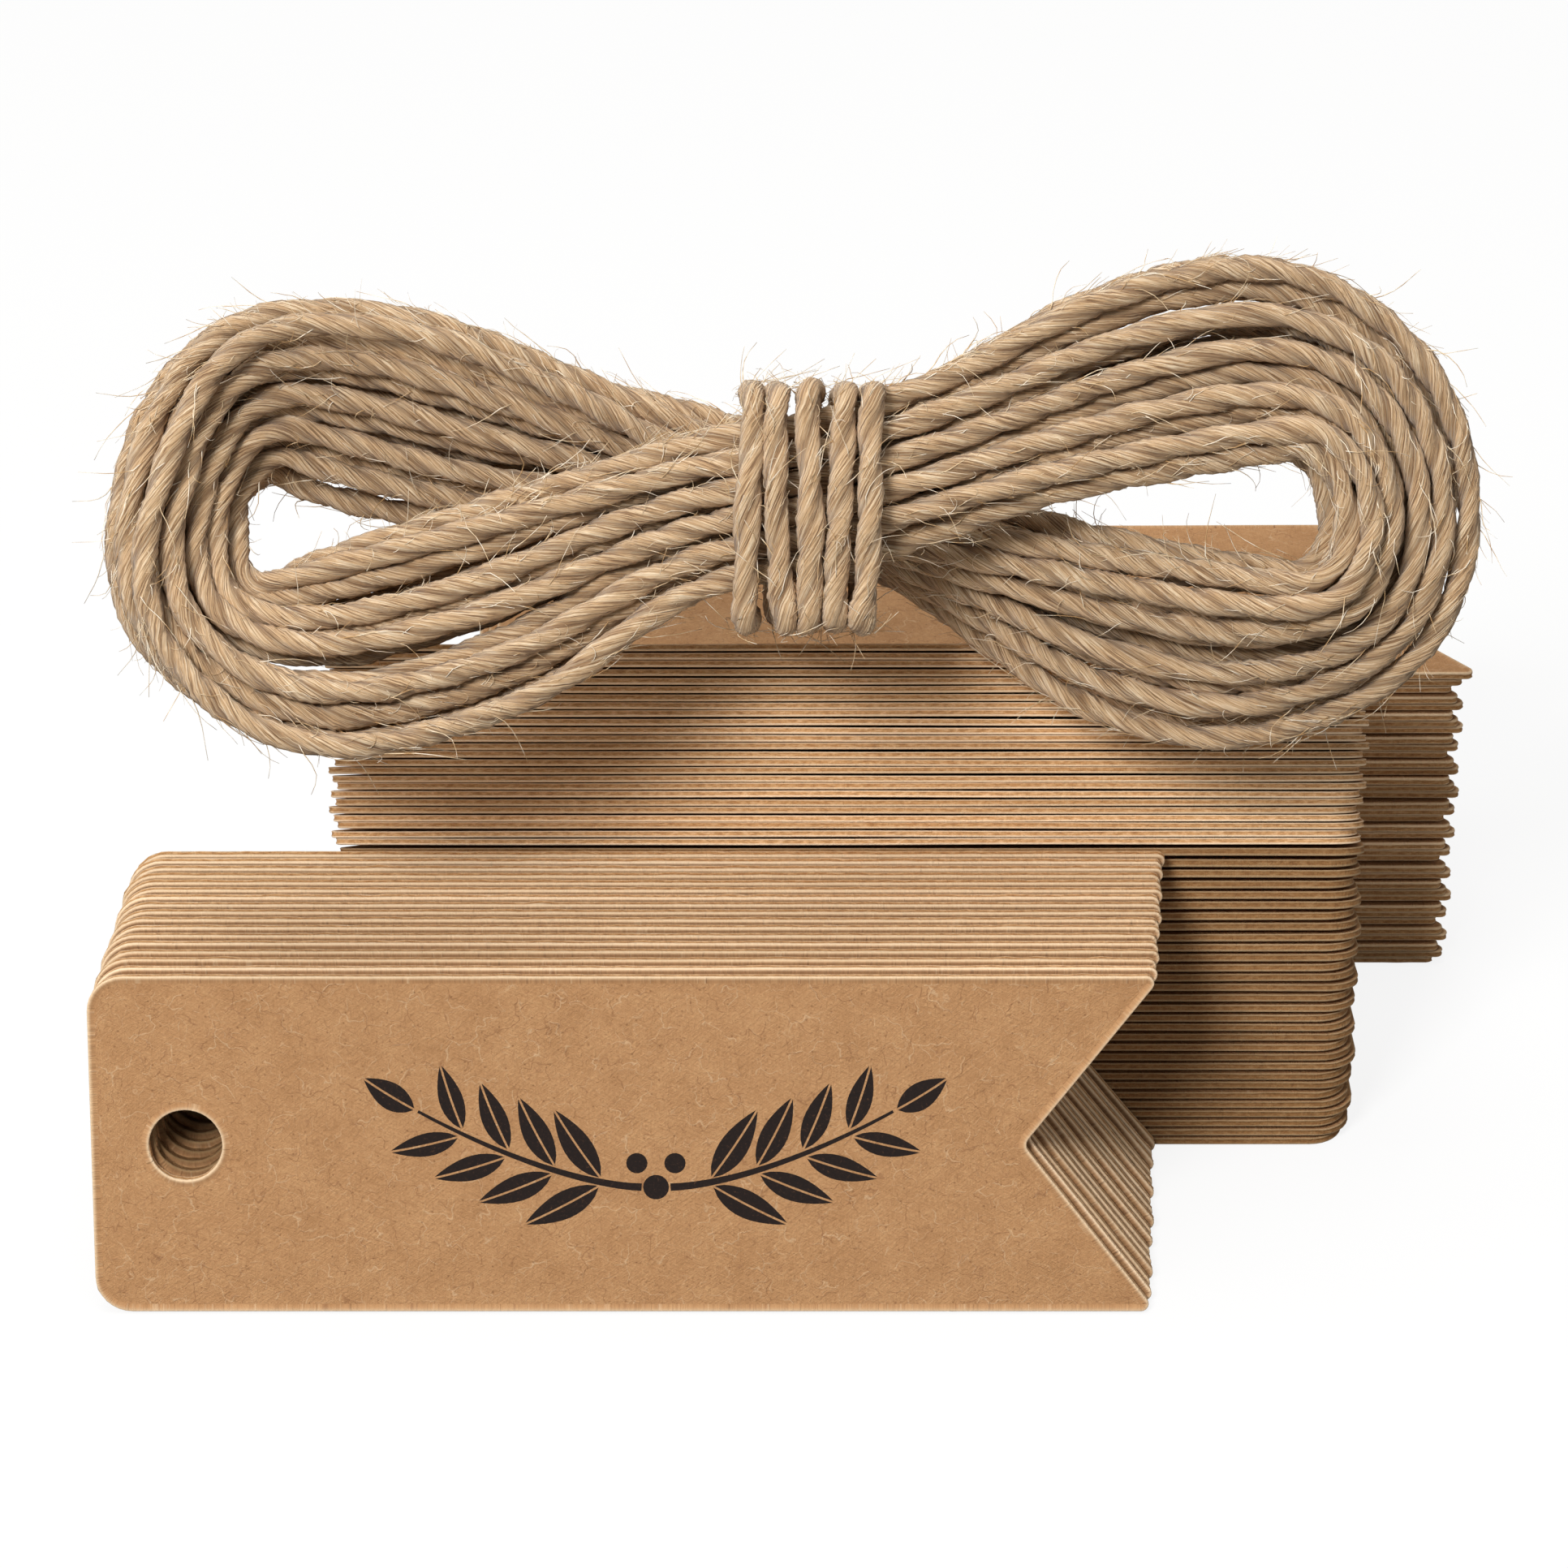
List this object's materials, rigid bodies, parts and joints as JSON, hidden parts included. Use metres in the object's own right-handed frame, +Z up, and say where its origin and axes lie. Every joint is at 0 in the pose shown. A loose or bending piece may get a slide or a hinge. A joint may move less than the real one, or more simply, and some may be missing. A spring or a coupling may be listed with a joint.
{
  "type": "gift tag pack",
  "caption": "Pack of swallowtail kraft gift tags: leaning, fanned and flat stacks of punched cards, with a tied figure-eight hank of jute twine on top.",
  "frame": {"origin": "on the table, under the middle of the whole pack's box", "axes": "+X to the right along the tags, +Y from the front stack to the rear stack, +Z up"},
  "size_m": [0.0948, 0.0668, 0.0694],
  "materials": {
    "kraft_card": "uncoated brown kraft card, matt, with fine fibres and paler die-cut edges",
    "jute_twine": "natural twisted jute, matt and slightly hairy"
  },
  "bodies": {
    "middle_stack": {"middle_lower_tags_01": "kraft_card", "middle_lower_tags_02": "kraft_card", "middle_lower_tags_03": "kraft_card", "middle_lower_tags_04": "kraft_card", "middle_lower_tags_05": "kraft_card", "middle_lower_tags_06": "kraft_card", "middle_lower_tags_07": "kraft_card", "middle_lower_tags_08": "kraft_card", "middle_lower_tags_09": "kraft_card", "middle_lower_tags_10": "kraft_card", "middle_upper_tags_01": "kraft_card", "middle_upper_tags_02": "kraft_card", "middle_upper_tags_03": "kraft_card", "middle_upper_tags_04": "kraft_card", "middle_upper_tags_05": "kraft_card", "middle_upper_tags_06": "kraft_card", "middle_upper_tags_07": "kraft_card", "middle_upper_tags_08": "kraft_card", "middle_top_tag": "kraft_card"},
    "front_stack": {"front_tag_02": "kraft_card", "front_tag_03": "kraft_card", "front_tag_04": "kraft_card", "front_tag_05": "kraft_card", "front_tag_06": "kraft_card", "front_tag_07": "kraft_card", "front_tag_08": "kraft_card", "front_tag_09": "kraft_card", "front_tag_10": "kraft_card", "front_tag_11": "kraft_card", "front_tag_12": "kraft_card", "front_tag_13": "kraft_card", "front_tag_14": "kraft_card", "front_tag_15": "kraft_card", "front_tag_16": "kraft_card", "front_tag_17": "kraft_card"},
    "front_tag": {"front_tag_01": "kraft_card"},
    "rear_stack": {"rear_tags_01": "kraft_card", "rear_tags_02": "kraft_card", "rear_tags_03": "kraft_card", "rear_tags_04": "kraft_card", "rear_tags_05": "kraft_card", "rear_tags_06": "kraft_card", "rear_tags_07": "kraft_card", "rear_tags_08": "kraft_card", "rear_tags_09": "kraft_card", "rear_tags_10": "kraft_card", "rear_tags_11": "kraft_card", "rear_tags_12": "kraft_card"},
    "rear_top": {"rear_top_tag": "kraft_card"},
    "hank": {"twine_hank": "jute_twine", "twine_tie": "jute_twine"}
  },
  "joints": [
    {"name": "front_stack_slide", "type": "slide", "parent": "middle_stack", "child": "front_stack", "axis": [0, -1, 0], "range_m": [0, 0.03]},
    {"name": "front_tag_slide", "type": "slide", "parent": "front_stack", "child": "front_tag", "axis": [0, -1, 0], "range_m": [0, 0.04]},
    {"name": "rear_stack_slide", "type": "slide", "parent": "middle_stack", "child": "rear_stack", "axis": [0, 1, 0], "range_m": [0, 0.03]},
    {"name": "rear_top_tag_slide", "type": "slide", "parent": "rear_stack", "child": "rear_top", "axis": [1, 0, 0], "range_m": [0, 0.04]},
    {"name": "hank_lift", "type": "slide", "parent": "middle_stack", "child": "hank", "axis": [0, 0, 1], "range_m": [0, 0.05]}
  ]
}
